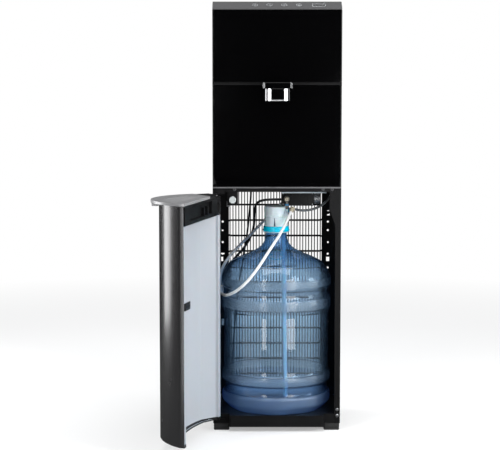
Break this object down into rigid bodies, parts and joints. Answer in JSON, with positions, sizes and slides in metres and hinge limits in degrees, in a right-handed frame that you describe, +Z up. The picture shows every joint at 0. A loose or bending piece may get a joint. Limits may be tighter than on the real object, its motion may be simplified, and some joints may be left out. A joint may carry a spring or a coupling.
{
  "type": "bottom load water cooler",
  "caption": "Tall black water cooler with a front spout over a half-moon drip tray and a bottle behind a curved, open door.",
  "frame": {"origin": "centre of the cabinet's footprint, on the floor", "axes": "+Z up; the front with the spout and the door faces -Y; +X is to the right, seen from in front"},
  "size_m": [0.4485, 0.5541, 1.0414],
  "materials": {
    "black_gloss": "deep gloss black, piano finish",
    "panel_grey": "glossy dark grey",
    "screen": "smoked display window",
    "button_pale": "pale printed key cap",
    "cabinet_black": "black powder coat",
    "black_plastic": "black moulded plastic",
    "foot_rubber": "matt black rubber",
    "chrome": "bright chrome plate",
    "steel": "zinc plated steel",
    "graphite": "graphite metallic lacquer",
    "liner_white": "satin cool white plastic",
    "tray_grey": "satin metallic grey",
    "bottle_blue": "clear blue polycarbonate",
    "cap_white": "satin pale blue white plastic",
    "ring_cyan": "cyan plastic",
    "tube_blue": "milky pale blue tube",
    "nut_beige": "beige plastic",
    "hose_white": "milky silicone hose",
    "hose_grey": "grey translucent hose",
    "hose_black": "black rubber",
    "brass": "dull brass",
    "white_plastic": "pale plastic",
    "tank_steel": "brushed stainless steel",
    "foam": "white foam",
    "copper": "bare copper",
    "board_green": "green circuit board"
  },
  "bodies": {
    "root": {"base_tray": "black_plastic", "feet": "foot_rubber", "left_side_panel": "cabinet_black", "right_side_panel": "cabinet_black", "cross_beam": "cabinet_black", "mid_shelf": "cabinet_black", "upper_front_panel": "black_gloss", "dispenser_panel": "black_gloss", "front_chassis": "black_plastic", "control_panel": "panel_grey", "display_window": "screen", "top_cover": "black_plastic", "rear_cover": "cabinet_black", "spout_collar": "black_gloss", "spout_body": "chrome", "spout_face": "black_gloss", "hinge_brackets": "steel", "hinge_pins": "steel", "switch_housing": "black_plastic", "water_bottle": "bottle_blue", "probe_cap": "cap_white", "cap_ring": "ring_cyan", "dip_tube": "tube_blue", "pump_body": "black_plastic", "pump_motor": "steel", "pump_bracket": "steel", "pump_fitting": "brass", "probe_hose": "hose_white", "return_hose": "hose_grey", "drain_line": "hose_black", "sensor_cable": "hose_black", "hose_nut": "nut_beige", "condenser_tube": "cabinet_black", "condenser_wires": "cabinet_black", "condenser_clips": "black_plastic", "compressor": "cabinet_black", "compressor_mounts": "foot_rubber", "hot_tank": "tank_steel", "cold_tank": "tank_steel", "evaporator_coil": "copper", "tank_insulation": "foam", "dispense_valves": "white_plastic", "water_lines": "hose_white", "control_board": "board_green", "power_inlet": "black_plastic", "drain_plugs": "white_plastic", "panel_screws": "steel"},
    "door": {"door_skin": "graphite", "door_liner": "liner_white", "door_top_block": "black_plastic", "door_top_cap": "black_plastic", "door_bottom_cap": "black_plastic", "door_catch": "black_plastic"},
    "tray": {"drip_tray": "tray_grey"},
    "grille": {"drip_grille": "tray_grey"},
    "hot_key": {"hot_button": "button_pale"},
    "warm_key": {"warm_button": "button_pale"},
    "cold_key": {"cold_button": "button_pale"},
    "lock_key": {"lock_button": "button_pale"},
    "plunger": {"switch_plunger": "white_plastic"}
  },
  "joints": [
    {"name": "door_hinge", "type": "hinge", "parent": "root", "child": "door", "pos_m": [-0.146, -0.1305, 0.3], "axis": [0, 0, 1], "range_deg": [-15.5, 104.5]},
    {"name": "tray_lift", "type": "slide", "parent": "door", "child": "tray", "axis": [0, 0, 1], "range_m": [0, 0.05]},
    {"name": "grille_lift", "type": "slide", "parent": "tray", "child": "grille", "axis": [0, 0, 1], "range_m": [0, 0.02]},
    {"name": "hot_press", "type": "slide", "parent": "root", "child": "hot_key", "axis": [0, 0.4668, -0.8844], "range_m": [0, 0.0012], "stiffness_N_per_m": 400, "springref_m": -0.001},
    {"name": "warm_press", "type": "slide", "parent": "root", "child": "warm_key", "axis": [0, 0.4668, -0.8844], "range_m": [0, 0.0012], "stiffness_N_per_m": 400, "springref_m": -0.001},
    {"name": "cold_press", "type": "slide", "parent": "root", "child": "cold_key", "axis": [0, 0.4668, -0.8844], "range_m": [0, 0.0012], "stiffness_N_per_m": 400, "springref_m": -0.001},
    {"name": "lock_press", "type": "slide", "parent": "root", "child": "lock_key", "axis": [0, 0.4668, -0.8844], "range_m": [0, 0.0012], "stiffness_N_per_m": 400, "springref_m": -0.001},
    {"name": "switch_press", "type": "slide", "parent": "root", "child": "plunger", "axis": [0, 1, 0], "range_m": [0, 0.003], "stiffness_N_per_m": 250, "springref_m": -0.003}
  ]
}
